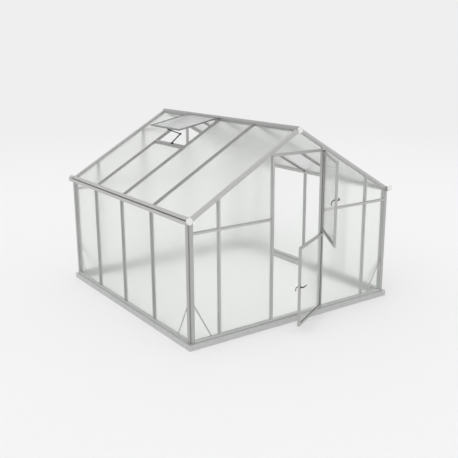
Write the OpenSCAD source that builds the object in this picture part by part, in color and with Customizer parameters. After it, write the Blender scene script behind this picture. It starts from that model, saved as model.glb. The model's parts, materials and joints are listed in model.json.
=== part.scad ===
// Walk-in greenhouse: an aluminium frame on a steel base, glazed with
// polycarbonate sheets, with a stable door in the front gable and a propped
// roof vent. Millimetres, +Z up. X = 0 is under the ridge, Y = 0 is the outer
// face of the front wall, Z = 0 is the ground. The door is in the -Y gable.

/* [Building] */
// Width over the side walls' outer faces
wall_w = 2970; // [2400:5:3600]
// First bay of a side wall, from the front gable's outer face to the bar's centre
front_bay = 822; // [680:1:900]
// Distance between the glazing bars of a side wall, centre to centre
bay = 738; // [600:1:900]
// Last bay of a side wall, from the bar's centre to the back gable's outer face
back_bay = 733; // [640:1:900]
// Height of the roof's outer face over the side wall's outer face
eave_h = 1440; // [1300:5:1800]
// Roof pitch in degrees
roof_pitch = 30; // [22:1:38]

/* [Base] */
// Height of the steel base
base_h = 70; // [40:1:150]
// Depth of the base rail, seen from above
base_d = 90; // [80:1:140]
// How far the base stands out past the walls
base_ledge = 25; // [5:1:40]
// Height of the bottom rail under the sheets
sill_h = 25; // [15:1:40]

/* [Frame] */
// Width of a glazing bar, and of the door jambs
bar_w = 27; // [25:1:50]
// Depth of a glazing bar, from the wall's outer face inwards
bar_d = 40; // [30:1:50]
// Side of a square corner post
post_w = 60; // [50:1:80]
// Side of the square rebate down a corner post's outer corner
post_rebate = 14; // [6:1:20]
// Gap between the cut top of a gable's upright and the rafter it meets
seat_gap = 0.1; // [0.05:0.05:0.5]
// Width of a glazing bar of the roof
roof_bar_w = 24; // [20:1:45]
// Vertical depth of the gable's sloping rafter
rafter_h = 50; // [40:1:60]
// How far the upper part of the rafter stands out past the gable
rafter_lip = 8; // [2:1:12]
// Vertical height of the rafter's projecting part
rafter_lip_h = 32; // [15:1:35]
// Height of the gable's cross rails
transom_h = 26; // [18:1:40]
// Height of the cross rails' centre
transom_z = 1292; // [1150:1:1350]

/* [Gutter and ridge] */
// How far the gutter stands out past the wall
gutter_out = 40; // [30:1:60]
// Inner edge of the eave beam, in from the wall's outer face
eave_in = 40; // [30:1:55]
// Height of the gutter's outer wall
gutter_h = 40; // [30:1:50]
// Thickness of the gutter's wall
gutter_t = 3; // [2:0.5:5]
// How far the gutter's floor lies below the roof's lower edge
gutter_drop = 36; // [30:1:45]
// How far gutter and ridge run past the gable
eave_over = 24; // [0:1:40]
// Radius of a gutter's round end cap
cap_r = 38; // [30:1:45]
// Thickness of an end cap
cap_t = 12; // [6:1:20]
// Half width of the ridge capping
ridge_half_w = 30; // [24:1:70]
// Height of the ridge capping over the roof
ridge_rise = 12; // [5:1:18]
// Depth of the ridge beam under the roof's peak
ridge_d = 60; // [45:1:90]

/* [Sheets] */
// Thickness of a polycarbonate sheet
sheet_t = 10; // [4:1:16]
// Depth of a sheet's outer face behind the bars' outer face
sheet_set = 8; // [4:1:12]
// Gap round a sheet
sheet_gap = 0.5; // [0.2:0.1:0.9]

/* [Front gable] */
// Clear width between the door jambs
door_w = 710; // [600:5:900]
// Distance from a jamb's centre to the mullion's centre
gable_bay = 725; // [500:5:800]
// Height of the head rail
head_h = 28; // [20:1:35]
// Distance from the head rail's top to the rafters over its ends
head_drop = 14.4; // [12:0.2:60]

/* [Door leaves] */
// Gap between the bottom rail of the wall and the lower leaf
leaf_gap = 12; // [11:1:20]
// Top of the lower leaf
lower_top = 1038; // [800:1:1150]
// Gap between the leaves
leaf_split = 20; // [18:1:30]
// Height of the upper leaf over the underside of the head rail
leaf_lap = 2; // [0:1:4]
// Width of a leaf's frame members
leaf_frame = 28; // [24:1:45]
// Thickness of a leaf's frame
leaf_t = 26; // [22:1:32]
// Running clearance between the leaves and the wall behind them
leaf_clear = 6; // [5:1:10]
// How far a leaf's free edge laps the jamb
jamb_lap = 6; // [2:1:8]
// Thickness of a leaf's sheet
leaf_sheet_t = 8; // [4:1:10]
// Opening angle of the lower leaf as it stands
lower_open = 28; // [0:1:150]
// Opening angle of the upper leaf as it stands
upper_open = 58; // [0:1:150]
// Radius of a pivot pin
pin_r = 4; // [3:0.5:5]
// Radial clearance of a pivot pin in its bore
pin_clear = 0.05; // [0.02:0.01:0.1]
// Length of a pivot pin in a leaf
pin_l = 15; // [10:1:20]
// Thickness of a pivot plate
pivot_t = 4; // [3:0.5:5]
// Gap between a pivot plate and the leaf that turns on it
pivot_gap = 6; // [5:0.5:8]

/* [Door handles] */
// How far a handle's lever stands off the leaf
handle_out = 30; // [25:1:55]
// Length of the outer lever
lever_l = 90; // [60:1:120]
// Length of the inner catch
catch_l = 60; // [40:1:80]
// Thickness of lever and catch
lever_t = 10; // [8:1:14]
// Radius of the round plate under the outer lever
rose_r = 12; // [10:0.5:18]
// Thickness of that plate
rose_t = 5; // [3:0.5:8]
// Radius of the handle's neck
neck_r = 6; // [5:0.5:6]
// Distance of the handle's axis from the leaf's free edge
handle_in = 21; // [20:1:30]
// Height of the lower leaf's handle
lower_handle_z = 572; // [450:1:700]
// Height of the upper leaf's handle
upper_handle_z = 1580; // [1450:1:1750]

/* [Roof vent] */
// Bay of the left slope that holds the vent, counted from the front
vent_bay = 3; // [2:1:3]
// Length of the vent's flap down the slope
vent_l = 618; // [450:1:700]
// Angle to which the flap is propped off the roof
vent_open = 19; // [5:0.5:30]
// Thickness of the flap's frame
vent_t = 14; // [12:1:20]
// Width of the flap's frame members
vent_frame_w = 22; // [15:1:30]
// Width of the sill bar under the flap's lower edge
vent_sill_w = 24; // [18:1:45]
// How far the closed flap laps the sill bar
vent_lap = 5; // [2:1:12]
// Distance of the stay from the middle of the vent, towards the front
stay_off = 75; // [0:5:150]
// Thickness of the stay's arms, and the width of its lower arm
stay_w = 12; // [8:1:15]
// Width of the stay's upper arm
stay_upper_w = 16; // [16:1:20]
// The stay's elbow, inwards and upwards from its foot
stay_elbow = [128, 104]; // [80:2:220]

/* [Corner braces] */
// Height above the base at which a brace meets the corner post
brace_rise = 450; // [300:5:600]
// Distance from the gable or side wall at which a brace meets the base
brace_run = 290; // [200:5:400]
// Width of the flat brace
brace_w = 16; // [10:1:25]
// Thickness of the flat brace
brace_t = 4; // [3:0.5:6]

/* [Hidden] */

$fn = 48;
ALUMINIUM = "#b4b5b6";
GALVANISED = "#b9bbbc";
SHEET = "#dfe6e1";
CAP = "#ececec";
BLACK = "#2a2b2c";

wall_l = front_bay + 2 * bay + back_bay;
half_w = wall_w / 2;
rise = tan(roof_pitch);
sill_top = base_h + sill_h;
jamb_x = door_w / 2 + bar_w / 2;
mullion_x = jamb_x + gable_bay;
head_z = rafter_under(door_w / 2) - head_h - head_drop;
eave_under = eave_h - gutter_drop;
bar_ys = [front_bay, front_bay + bay, front_bay + 2 * bay];
lower_bottom = sill_top + leaf_gap;
upper_bottom = lower_top + leaf_split;
upper_top = head_z + leaf_lap;
hinge_x = door_w / 2 + leaf_t / 2;
hinge_y = -leaf_clear - leaf_t / 2;
leaf_w = hinge_x + door_w / 2 + jamb_lap;
roof_edge_x = half_w - eave_in;
flap_slope = roof_pitch - vent_open;
vent_hinge_x = -ridge_half_w - sheet_gap;
vent_hinge_z = roof_z(vent_hinge_x) + sheet_gap;
vent_sill_x = vent_hinge_x - (vent_l + vent_sill_w / 2 - vent_lap) * cos(roof_pitch);
stay_y = (vent_y(0) + vent_y(1)) / 2 - stay_off;
overlap = 1; // how far a cutting solid runs past what it cuts

// Outer surface of the roof over a point x, and the underside of the rafters there
function roof_z(x) = eave_h + (half_w - abs(x)) * rise;
function rafter_under(x) = roof_z(x) - rafter_h;
// The two walls of the vent's bay, at side 0 and side 1
function vent_y(side) = bar_ys[vent_bay - 2 + side] + (side == 0 ? 1 : -1) * roof_bar_w / 2;

// ---- shared shapes -------------------------------------------------------

// An outline in the X-Z plane, extruded along Y from y0 to y1
module across(points, y0, y1) {
    translate([0, y1, 0]) rotate([90, 0, 0]) linear_extrude(y1 - y0) polygon(points);
}

module both_sides() {
    children();
    mirror([1, 0, 0]) children();
}

// A strip of the left slope between x0 and x1, its top `drop` below the roof's
// outer surface and `thick` deep, both measured vertically
module slope_strip(x0, x1, y0, y1, drop, thick) {
    across([
        [x0, roof_z(x0) - drop], [x1, roof_z(x1) - drop],
        [x1, roof_z(x1) - drop - thick], [x0, roof_z(x0) - drop - thick]
    ], y0, y1);
}

// An upright in a gable, cut to the slope of the rafter over it
module gable_upright(x, w, y0, y1) {
    across([
        [x - w / 2, sill_top], [x + w / 2, sill_top],
        [x + w / 2, rafter_under(x + w / 2) - seat_gap], [x - w / 2, rafter_under(x - w / 2) - seat_gap]
    ], y0, y1);
}

// ---- base and bottom rails -----------------------------------------------

module base_rail_front() {
    linear_extrude(base_h) polygon([
        [-half_w - base_ledge, -base_ledge], [half_w + base_ledge, -base_ledge],
        [half_w + base_ledge - base_d, base_d - base_ledge],
        [-half_w - base_ledge + base_d, base_d - base_ledge]
    ]);
}

module base_rail_left() {
    linear_extrude(base_h) polygon([
        [-half_w - base_ledge, -base_ledge], [-half_w - base_ledge + base_d, base_d - base_ledge],
        [-half_w - base_ledge + base_d, wall_l + base_ledge - base_d],
        [-half_w - base_ledge, wall_l + base_ledge]
    ]);
}

// Turns what belongs to the front gable into the back gable's copy
module to_back() {
    translate([0, wall_l, 0]) mirror([0, 1, 0]) children();
}

module base_front() { color(GALVANISED) base_rail_front(); }
module base_back() { color(GALVANISED) to_back() base_rail_front(); }
module base_left() { color(GALVANISED) base_rail_left(); }
module base_right() { color(GALVANISED) mirror([1, 0, 0]) base_rail_left(); }

module gable_sill() {
    translate([-half_w + post_w, 0, base_h]) cube([wall_w - 2 * post_w, bar_d, sill_h]);
}

module side_sill() {
    translate([-half_w, post_w, base_h]) cube([bar_d, wall_l - 2 * post_w, sill_h]);
}

module front_sill() { color(ALUMINIUM) gable_sill(); }
module back_sill() { color(ALUMINIUM) to_back() gable_sill(); }
module left_sill() { color(ALUMINIUM) side_sill(); }
module right_sill() { color(ALUMINIUM) mirror([1, 0, 0]) side_sill(); }

// ---- walls ---------------------------------------------------------------

// The front left post: under the eave beam outside, up to the rafter inside
module corner_post() {
    inner_x = -half_w + post_w;
    difference() {
        across([
            [-half_w, base_h], [inner_x, base_h], [inner_x, rafter_under(inner_x)],
            [-roof_edge_x, rafter_under(roof_edge_x)], [-roof_edge_x, eave_under],
            [-half_w, eave_under]
        ], 0, post_w);
        translate([-half_w - overlap, -overlap, base_h - overlap])
            cube([post_rebate + overlap, post_rebate + overlap, eave_h]);
    }
}

module front_corner_posts() { color(ALUMINIUM) both_sides() corner_post(); }
module back_corner_posts() { color(ALUMINIUM) to_back() both_sides() corner_post(); }

module side_bars() {
    for (y = bar_ys)
        translate([-half_w, y - bar_w / 2, sill_top]) cube([bar_d, bar_w, eave_under - sill_top]);
}

module left_wall_bars() { color(ALUMINIUM) side_bars(); }
module right_wall_bars() { color(ALUMINIUM) mirror([1, 0, 0]) side_bars(); }

module side_sheets() {
    edges = concat([post_w], [for (y = bar_ys) each [y - bar_w / 2, y + bar_w / 2]], [wall_l - post_w]);
    for (i = [0:2:len(edges) - 1])
        translate([-half_w + sheet_set, edges[i] + sheet_gap, sill_top + sheet_gap])
            cube([sheet_t, edges[i + 1] - edges[i] - 2 * sheet_gap, eave_under - sill_top - 2 * sheet_gap]);
}

module left_wall_sheets() { color(SHEET) side_sheets(); }
module right_wall_sheets() { color(SHEET) mirror([1, 0, 0]) side_sheets(); }

// ---- eaves and ridge -----------------------------------------------------

// Section of the eave beam with the gutter in front of it
module gutter() {
    outer = -half_w - gutter_out;
    floor_z = eave_under + gutter_t;
    lip_z = eave_under + gutter_h;
    across([
        [outer, lip_z], [outer, eave_under], [-roof_edge_x, eave_under],
        [-roof_edge_x, roof_z(roof_edge_x) + gutter_t], [-half_w, roof_z(half_w) + gutter_t],
        [-half_w - gutter_t, roof_z(half_w) + gutter_t], [-half_w - gutter_t, floor_z],
        [outer + gutter_t, floor_z], [outer + gutter_t, lip_z]
    ], -eave_over, wall_l + eave_over);
}

module left_gutter() { color(ALUMINIUM) gutter(); }
module right_gutter() { color(ALUMINIUM) mirror([1, 0, 0]) gutter(); }

module gutter_caps() {
    color(CAP)
        both_sides()
            for (y = [-eave_over - cap_t, wall_l + eave_over])
                translate([-half_w, y, eave_under + cap_r])
                    rotate([-90, 0, 0]) cylinder(r = cap_r, h = cap_t);
}

module ridge_section(y0, y1) {
    peak = roof_z(0);
    edge = roof_z(ridge_half_w);
    across([
        [-ridge_half_w, edge + ridge_rise], [0, peak + ridge_rise], [ridge_half_w, edge + ridge_rise],
        [ridge_half_w, edge - rafter_lip_h], [ridge_half_w / 2, peak - ridge_d],
        [-ridge_half_w / 2, peak - ridge_d], [-ridge_half_w, edge - rafter_lip_h]
    ], y0, y1);
}

module ridge_beam() { color(ALUMINIUM) ridge_section(0, wall_l); }

module ridge_caps() {
    color(CAP)
        for (y = [-cap_t, wall_l]) ridge_section(y, y + cap_t);
}

// ---- gables --------------------------------------------------------------

module rafter() {
    slope_strip(-roof_edge_x, -ridge_half_w, -rafter_lip, bar_d, 0, rafter_lip_h);
    slope_strip(-roof_edge_x, -ridge_half_w, 0, bar_d, rafter_lip_h - overlap, rafter_h - rafter_lip_h + overlap);
}

module front_rafters() { color(ALUMINIUM) both_sides() rafter(); }
module back_rafters() { color(ALUMINIUM) to_back() both_sides() rafter(); }

module mullions() { both_sides() gable_upright(-mullion_x, bar_w, 0, bar_d); }
module jambs() { both_sides() gable_upright(-jamb_x, bar_w, 0, bar_d); }
module head_rail() { translate([-door_w / 2, 0, head_z]) cube([door_w, bar_d, head_h]); }

module transom_between(x0, x1) {
    translate([x0, 0, transom_z - transom_h / 2]) cube([x1 - x0, bar_d, transom_h]);
}

module side_transoms() {
    both_sides() {
        transom_between(-half_w + post_w, -mullion_x - bar_w / 2);
        transom_between(-mullion_x + bar_w / 2, -jamb_x - bar_w / 2);
    }
}

module front_mullions() { color(ALUMINIUM) mullions(); }
module door_jambs() { color(ALUMINIUM) jambs(); }
module door_head() { color(ALUMINIUM) head_rail(); }
module front_transoms() { color(ALUMINIUM) side_transoms(); }

module back_gable_bars() {
    color(ALUMINIUM) to_back() { mullions(); jambs(); }
}

module back_gable_rails() {
    color(ALUMINIUM) to_back() {
        side_transoms();
        transom_between(-door_w / 2, door_w / 2);
        head_rail();
    }
}

// A gable sheet between x0 and x1, from z0 up to z1 or, where that is
// undefined, up to the rafter
module gable_sheet(x0, x1, z0, z1) {
    xa = x0 + sheet_gap;
    xb = x1 - sheet_gap;
    top_a = is_undef(z1) ? rafter_under(xa) : z1;
    top_b = is_undef(z1) ? rafter_under(xb) : z1;
    across([
        [xa, z0 + sheet_gap], [xb, z0 + sheet_gap], [xb, top_b - sheet_gap], [xa, top_a - sheet_gap]
    ], sheet_set, sheet_set + sheet_t);
}

module side_bay_sheets() {
    edges = [-half_w + post_w, -mullion_x - bar_w / 2, -mullion_x + bar_w / 2, -jamb_x - bar_w / 2];
    both_sides()
        for (i = [0, 2]) {
            gable_sheet(edges[i], edges[i + 1], sill_top, transom_z - transom_h / 2);
            gable_sheet(edges[i], edges[i + 1], transom_z + transom_h / 2);
        }
}

// The sheet over the head rail, up to both rafters and the ridge beam
module peak_sheet() {
    xa = door_w / 2 - sheet_gap;
    z0 = head_z + head_h + sheet_gap;
    shoulder = rafter_under(xa) - sheet_gap;
    under_ridge = roof_z(0) - ridge_d - sheet_gap;
    flat_x = half_w - (under_ridge + rafter_h + sheet_gap - eave_h) / rise;
    across([
        [-xa, z0], [xa, z0], [xa, shoulder], [flat_x, under_ridge], [-flat_x, under_ridge], [-xa, shoulder]
    ], sheet_set, sheet_set + sheet_t);
}

module front_gable_sheets() {
    color(SHEET) { side_bay_sheets(); peak_sheet(); }
}

module back_gable_sheets() {
    color(SHEET) to_back() {
        side_bay_sheets();
        peak_sheet();
        gable_sheet(-door_w / 2, door_w / 2, sill_top, transom_z - transom_h / 2);
        gable_sheet(-door_w / 2, door_w / 2, transom_z + transom_h / 2, head_z);
    }
}

// ---- roof ----------------------------------------------------------------

module roof_bars() {
    for (y = bar_ys)
        slope_strip(-roof_edge_x, -ridge_half_w, y - roof_bar_w / 2, y + roof_bar_w / 2, 0, bar_d);
}

module left_roof_bars() { color(ALUMINIUM) roof_bars(); }
module right_roof_bars() { color(ALUMINIUM) mirror([1, 0, 0]) roof_bars(); }

// Sheets of one slope. Where a bay holds a vent, its sheet stops at the sill.
module roof_sheets(open_bay) {
    edges = concat([bar_d], [for (y = bar_ys) each [y - roof_bar_w / 2, y + roof_bar_w / 2]], [wall_l - bar_d]);
    for (i = [0:2:len(edges) - 1]) {
        top_x = i / 2 + 1 == open_bay ? vent_sill_x - vent_sill_w / 2 : -ridge_half_w;
        slope_strip(
            -roof_edge_x + sheet_gap, top_x - sheet_gap,
            edges[i] + sheet_gap, edges[i + 1] - sheet_gap,
            sheet_set / cos(roof_pitch), sheet_t / cos(roof_pitch)
        );
    }
}

module left_roof_sheets() { color(SHEET) roof_sheets(vent_bay); }
module right_roof_sheets() { color(SHEET) mirror([1, 0, 0]) roof_sheets(0); }

// ---- vent ----------------------------------------------------------------

// Places what is drawn along +X, down the flap from its hinge, on the open flap
module on_vent() {
    translate([vent_hinge_x, 0, vent_hinge_z])
        mirror([1, 0, 0]) rotate([0, flap_slope, 0]) children();
}

// The frame's outline, flat on the flap, with its rim `inset` from the edges
module flap_plate(inset, z0, thick) {
    y0 = vent_y(0) - roof_bar_w / 2 + inset;
    y1 = vent_y(1) + roof_bar_w / 2 - inset;
    translate([inset, y0, z0]) cube([vent_l - 2 * inset, y1 - y0, thick]);
}

module vent_sill() {
    color(ALUMINIUM)
        slope_strip(vent_sill_x - vent_sill_w / 2, vent_sill_x + vent_sill_w / 2, vent_y(0), vent_y(1), 0, bar_d);
}

module vent_frame() {
    color(ALUMINIUM) on_vent()
        difference() {
            flap_plate(0, 0, vent_t);
            flap_plate(vent_frame_w, -overlap, vent_t + 2 * overlap);
        }
}

module vent_sheet() {
    color(SHEET) on_vent() flap_plate(vent_frame_w + sheet_gap, (vent_t - sheet_t) / 2, sheet_t);
}

// An arm of the stay in the X-Z plane from a to b, `wide` along Y
module stay_arm(a, b, wide) {
    along = b - a;
    translate([a[0], stay_y - wide / 2, a[1]])
        rotate([0, -atan2(along[1], along[0]), 0])
            translate([0, 0, -stay_w / 2]) cube([norm(along), wide, stay_w]);
}

// The stay: a foot on the sill, two arms that meet at an elbow, and a lug
// under the flap's lower rail
module vent_stay() {
    lug_l = vent_l - vent_frame_w / 2;
    lug = [
        vent_hinge_x - lug_l * cos(flap_slope) - stay_w * sin(-flap_slope),
        vent_hinge_z - lug_l * sin(flap_slope) - stay_w * cos(flap_slope)
    ];
    foot = [vent_sill_x, roof_z(vent_sill_x) + stay_w];
    elbow = foot + stay_elbow;
    color(BLACK) {
        slope_strip(
            foot[0] - stay_w, foot[0] + stay_w, stay_y - stay_w, stay_y + stay_w, -1.5 * stay_w, 1.5 * stay_w
        );
        stay_arm(foot, elbow, stay_w);
        stay_arm(elbow, lug, stay_upper_w);
        translate([elbow[0], stay_y - stay_w, elbow[1]])
            rotate([-90, 0, 0]) cylinder(r = stay_w, h = 2 * stay_w, $fn = 12);
        on_vent()
            translate([lug_l - stay_w / 2, stay_y - stay_w, -1.5 * stay_w])
                cube([stay_w, 2 * stay_w, 1.5 * stay_w]);
    }
}

// ---- corner braces -------------------------------------------------------

// A brace in the plane of a wall: X is the distance from the corner along the
// wall, Y the depth behind the wall's outer face
module brace() {
    along = brace_run - post_w;
    down = base_h + brace_rise - sill_top;
    length = norm([along, down]);
    depth = sheet_set + sheet_t + sheet_gap;
    across([
        [post_w, sill_top + down], [post_w, sill_top + down - brace_w * length / along],
        [brace_run - brace_w * length / down, sill_top], [brace_run, sill_top]
    ], depth, depth + brace_t);
}

module brace_pair() {
    translate([-half_w, 0, 0]) {
        brace();
        mirror([1, -1, 0]) brace();
    }
}

module corner_braces() {
    color(ALUMINIUM) {
        both_sides() brace_pair();
        to_back() both_sides() brace_pair();
    }
}

// ---- door ----------------------------------------------------------------

// Places a leaf that is drawn closed, running from its hinge axis along -X
module hung(open) {
    translate([hinge_x, hinge_y, 0]) rotate([0, 0, open]) children();
}

// The rim of a leaf from z0 to z1, round at the hinge, with a bore for each pin
module leaf_rim(z0, z1) {
    difference() {
        union() {
            translate([-leaf_w, -leaf_t / 2, z0]) cube([leaf_w, leaf_t, z1 - z0]);
            translate([0, 0, z0]) cylinder(d = leaf_t, h = z1 - z0);
        }
        translate([-leaf_w + leaf_frame, -leaf_t / 2 - overlap, z0 + leaf_frame])
            cube([leaf_w - 2 * leaf_frame, leaf_t + 2 * overlap, z1 - z0 - 2 * leaf_frame]);
        for (z = [z0 - overlap, z1 - pin_l - pivot_gap])
            translate([0, 0, z]) cylinder(r = pin_r + pin_clear, h = pin_l + pivot_gap + overlap);
    }
}

module leaf_sheet(z0, z1) {
    inset = leaf_frame + sheet_gap;
    translate([-leaf_w + inset, -leaf_sheet_t / 2, z0 + inset])
        cube([leaf_w - 2 * inset, leaf_sheet_t, z1 - z0 - 2 * inset]);
}

// The lever outside and the catch inside
module leaf_handle(z) {
    translate([-leaf_w + handle_in, 0, z]) {
        translate([0, -leaf_t / 2 - rose_t, 0]) rotate([-90, 0, 0]) cylinder(r = rose_r, h = rose_t);
        translate([0, -leaf_t / 2 - handle_out, 0])
            rotate([-90, 0, 0]) cylinder(r = neck_r, h = handle_out);
        translate([-neck_r, -leaf_t / 2 - handle_out - lever_t, -lever_t / 2])
            cube([neck_r + lever_l, lever_t, lever_t]);
        translate([0, leaf_t / 2, 0]) rotate([-90, 0, 0]) cylinder(r = neck_r, h = handle_out);
        translate([-lever_t / 2, leaf_t / 2 + handle_out, -catch_l])
            cube([lever_t, lever_t, catch_l + neck_r]);
    }
}

// A plate on the jamb with pins up and down from it, as far as `up` and `down`
module pivot(z, up, down) {
    translate([door_w / 2, hinge_y - pin_r - pivot_gap, z - pivot_t / 2])
        cube([leaf_t, pin_r + pivot_gap - hinge_y, pivot_t]);
    translate([hinge_x, hinge_y, z - down]) cylinder(r = pin_r, h = up + down);
}

module door_pivots() {
    reach = pivot_gap + pivot_t / 2;
    color(BLACK) {
        pivot(lower_bottom - reach, reach + pin_l, 0);
        pivot((lower_top + upper_bottom) / 2, leaf_split / 2 + pin_l, leaf_split / 2 + pin_l);
        pivot(upper_top + reach, 0, reach + pin_l);
    }
}

module lower_door_frame() { color(ALUMINIUM) hung(lower_open) leaf_rim(lower_bottom, lower_top); }
module lower_door_sheet() { color(SHEET) hung(lower_open) leaf_sheet(lower_bottom, lower_top); }
module lower_door_handle() { color(BLACK) hung(lower_open) leaf_handle(lower_handle_z); }
module upper_door_frame() { color(ALUMINIUM) hung(upper_open) leaf_rim(upper_bottom, upper_top); }
module upper_door_sheet() { color(SHEET) hung(upper_open) leaf_sheet(upper_bottom, upper_top); }
module upper_door_handle() { color(BLACK) hung(upper_open) leaf_handle(upper_handle_z); }

base_front();
base_back();
base_left();
base_right();
front_sill();
back_sill();
left_sill();
right_sill();
front_corner_posts();
back_corner_posts();
left_wall_bars();
right_wall_bars();
left_gutter();
right_gutter();
gutter_caps();
ridge_beam();
ridge_caps();
front_rafters();
back_rafters();
front_mullions();
door_jambs();
door_head();
front_transoms();
back_gable_bars();
back_gable_rails();
left_roof_bars();
right_roof_bars();
left_wall_sheets();
right_wall_sheets();
front_gable_sheets();
back_gable_sheets();
left_roof_sheets();
right_roof_sheets();
vent_sill();
vent_frame();
vent_sheet();
vent_stay();
corner_braces();
door_pivots();
lower_door_frame();
lower_door_sheet();
lower_door_handle();
upper_door_frame();
upper_door_sheet();
upper_door_handle();
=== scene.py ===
# %% [markdown]
# # A polycarbonate greenhouse, dressed in Blender
# The building's bars, sheets, gutters and door leaves come from a CAD model, at
# their real size and place. This lesson adds what a maker would see close up:
# the grain of extruded aluminium, the flutes of the sheets, seals, cover caps,
# screws and moulded handles. Every length is in metres, +X to the right of the
# door, +Y into the building and +Z up.

# %% Load the CAD frame
import json
import math

import bmesh
import bpy
from mathutils import Matrix, Vector
from mathutils.geometry import interpolate_bezier


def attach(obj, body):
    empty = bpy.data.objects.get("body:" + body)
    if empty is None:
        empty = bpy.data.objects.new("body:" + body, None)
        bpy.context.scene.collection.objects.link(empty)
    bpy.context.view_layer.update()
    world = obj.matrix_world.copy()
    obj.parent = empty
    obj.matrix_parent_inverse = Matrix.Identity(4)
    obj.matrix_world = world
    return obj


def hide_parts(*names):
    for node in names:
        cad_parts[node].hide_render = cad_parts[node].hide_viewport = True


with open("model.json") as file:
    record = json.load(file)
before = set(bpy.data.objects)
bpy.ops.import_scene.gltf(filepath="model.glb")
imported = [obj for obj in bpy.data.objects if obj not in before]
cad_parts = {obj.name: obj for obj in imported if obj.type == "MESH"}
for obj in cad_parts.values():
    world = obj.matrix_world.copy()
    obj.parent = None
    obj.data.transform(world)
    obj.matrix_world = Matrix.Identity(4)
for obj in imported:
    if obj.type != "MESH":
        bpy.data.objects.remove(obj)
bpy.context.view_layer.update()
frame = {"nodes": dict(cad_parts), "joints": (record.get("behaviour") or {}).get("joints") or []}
MM = 0.001

# %% [markdown]
# ## Reading places off the frame
# A CAD node may hold several solids, such as the three bars of a side wall. Its
# mesh arrives as loose triangles, so a copy is welded first and then walked from
# vertex to vertex. Each island that this finds is one solid, and its corner
# points say where the small parts belong. Reading them here means that nothing
# has to be measured twice.

# %% Solids, boxes and outer faces
# Points closer than WELD are one; points within FLAT of a face lie in it.
WELD = 0.00001
FLAT = 0.0002
LEAST_RISE = 0.1


def solids(node):
    """The corner points of each separate solid in a CAD node."""
    welded = bmesh.new()
    welded.from_mesh(frame["nodes"][node].data)
    bmesh.ops.remove_doubles(welded, verts=welded.verts, dist=WELD)
    unseen, found = set(welded.verts), []
    while unseen:
        queue, island = [unseen.pop()], []
        while queue:
            vert = queue.pop()
            island.append(vert.co.copy())
            for edge in vert.link_edges:
                other = edge.other_vert(vert)
                if other in unseen:
                    unseen.discard(other)
                    queue.append(other)
        found.append(island)
    welded.free()
    return sorted(found, key=lambda island: tuple(box_of(island)[0]))


def box_of(points):
    """The lowest and highest corners of some points."""
    low = Vector([min(p[i] for p in points) for i in range(3)])
    high = Vector([max(p[i] for p in points) for i in range(3)])
    return low, high


def face_towards(points, normal):
    """The corners of the flat face that looks along normal, in order round its middle."""
    reach = max(p.dot(normal) for p in points)
    corners = [p for p in points if p.dot(normal) > reach - FLAT]
    middle = sum(corners, Vector()) / len(corners)
    side = normal.orthogonal().normalized()
    other = normal.cross(side)
    return sorted(corners, key=lambda p: math.atan2((p - middle).dot(other), (p - middle).dot(side)))


def broadest_normal(node):
    """The upward normal that most of a node's surface has."""
    areas = {}
    for polygon in frame["nodes"][node].data.polygons:
        if polygon.normal.z > LEAST_RISE:
            key = tuple(round(v, 4) for v in polygon.normal)
            areas[key] = areas.get(key, 0.0) + polygon.area
    return Vector(max(areas, key=areas.get)).normalized()


X, Y, Z = Vector((1, 0, 0)), Vector((0, 1, 0)), Vector((0, 0, 1))
LEFT_SLOPE = broadest_normal("left_roof_sheets")
RIGHT_SLOPE = broadest_normal("right_roof_sheets")
left_bars = solids("left_wall_bars")
print("roof pitch", round(math.degrees(LEFT_SLOPE.angle(Z)), 2), "degrees")
print("bars in the left wall:", len(left_bars), "first at y =", round(box_of(left_bars[0])[0].y, 3))

# %% [markdown]
# ## Colours and nodes
# Colours are written as the sRGB hex values that a colour picker shows, and one
# function turns them into the linear values that a renderer adds up. A second
# function adds any node with its settings and links, so that the material
# functions below read as a list of what the finish is made of.

# %% Helpers for materials


def linear(hex_colour):
    """An sRGB hex colour as linear red, green, blue and alpha."""
    parts = [int(hex_colour[i : i + 2], 16) / 255 for i in (1, 3, 5)]
    return [c / 12.92 if c <= 0.04045 else ((c + 0.055) / 1.055) ** 2.4 for c in parts] + [1.0]


def add_node(tree, kind, inputs=None, **settings):
    """Adds a node, gives it its settings, and fills or links its inputs."""
    node = tree.nodes.new(kind)
    for name, value in settings.items():
        setattr(node, name, value)
    for key, value in (inputs or {}).items():
        if isinstance(value, bpy.types.NodeSocket):
            tree.links.new(value, node.inputs[key])
        else:
            node.inputs[key].default_value = value
    return node


def new_material(name):
    """An empty material and its tree, with the output node."""
    material = bpy.data.materials.new(name)
    material.use_nodes = True
    material.node_tree.nodes.clear()
    output = add_node(material.node_tree, "ShaderNodeOutputMaterial")
    return material, material.node_tree, output


print("mid grey is", [round(c, 3) for c in linear("#b2b4b5")])

# %% [markdown]
# ## Extruded aluminium
# The bars are pressed through a die and anodised. The die leaves fine lines
# along a bar and the anodising takes the mirror shine away, so the eye sees a
# satin grey with streaks that follow the length. The streaks are noise that is
# stretched along the bar: its coordinates change quickly across the bar and
# slowly along it. The roof's two slopes are mirror images, so the pattern reads
# the distance from the ridge and fits both. All the bars are the same metal, but
# thin glazing bars, posts, leaf frames, the vent and the ridge get deeper greys
# as painted shade, and the bottom rails a paler grey as painted light.

# %% Aluminium
ANODISED = "#c7c7c6"
# A deeper grey, as painted shade on thin bars and the ridge
SHADED_ANODISED = "#b2b2b1"
# Real die lines are finer than a millimetre; these are coarse enough to show.
DIE_LINE = 3.0 * MM
STREAK_RUN = 0.6
SATIN = (0.34, 0.5)


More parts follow.
